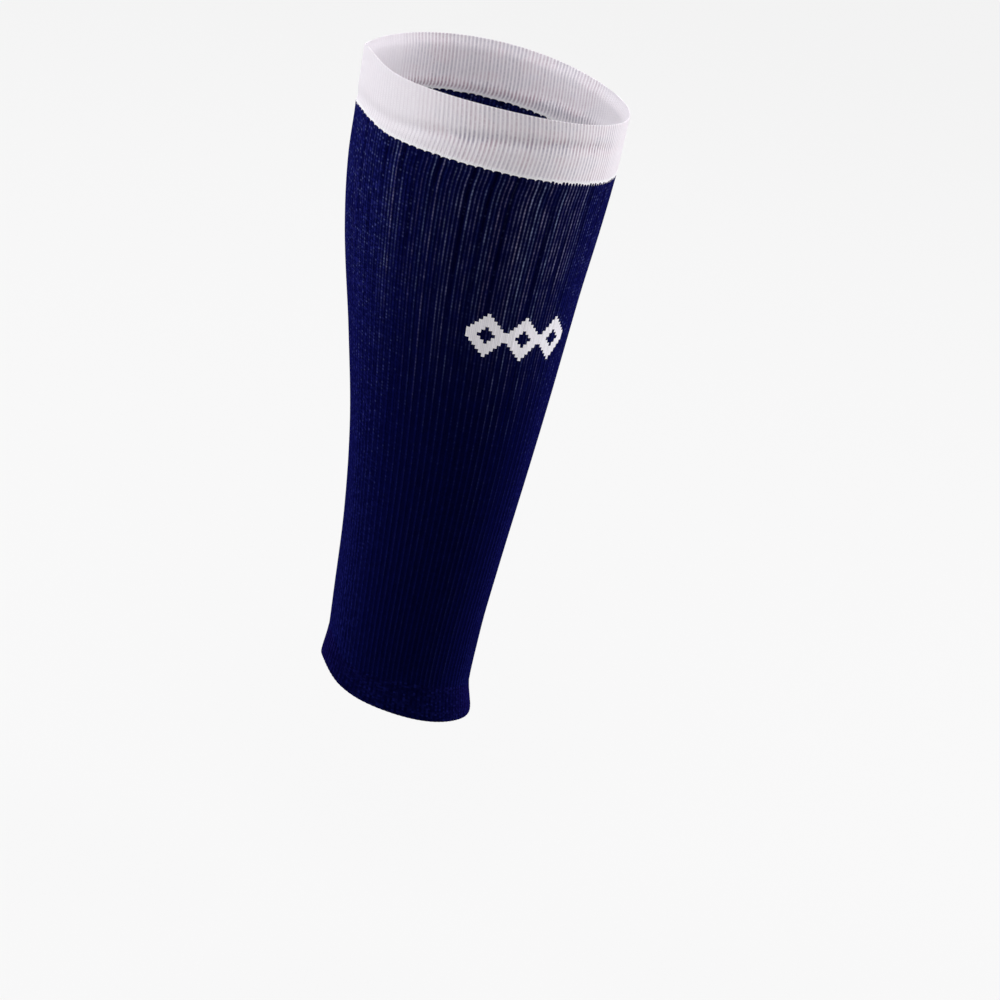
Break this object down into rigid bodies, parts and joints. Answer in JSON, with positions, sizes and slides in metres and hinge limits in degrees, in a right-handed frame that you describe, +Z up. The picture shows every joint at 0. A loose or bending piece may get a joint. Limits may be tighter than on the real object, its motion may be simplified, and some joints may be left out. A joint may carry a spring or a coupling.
{
  "type": "calf compression sleeve",
  "caption": "Tapered knitted sleeve for the lower leg, open at both ends, with a ribbed navy tube, a white folded cuff at the calf and a turned hem at the ankle.",
  "frame": {"origin": "on the leg's axis, level with the fullest part of the calf, where the worn sleeve is held", "axes": "+Z up the leg to the cuff, -Y to the shin, +Y to the calf muscle, X from side to side"},
  "size_m": [0.107, 0.1377, 0.3028],
  "materials": {
    "cuff_knit": "white double rib knit, matt",
    "rib_knit": "navy ribbed elastic knit, matt with a slight sheen",
    "hem_knit": "navy plain knit, turned double, matt"
  },
  "bodies": {
    "root": {"cuff": "cuff_knit", "leg_tube": "rib_knit", "ankle_hem": "hem_knit"}
  },
  "joints": []
}
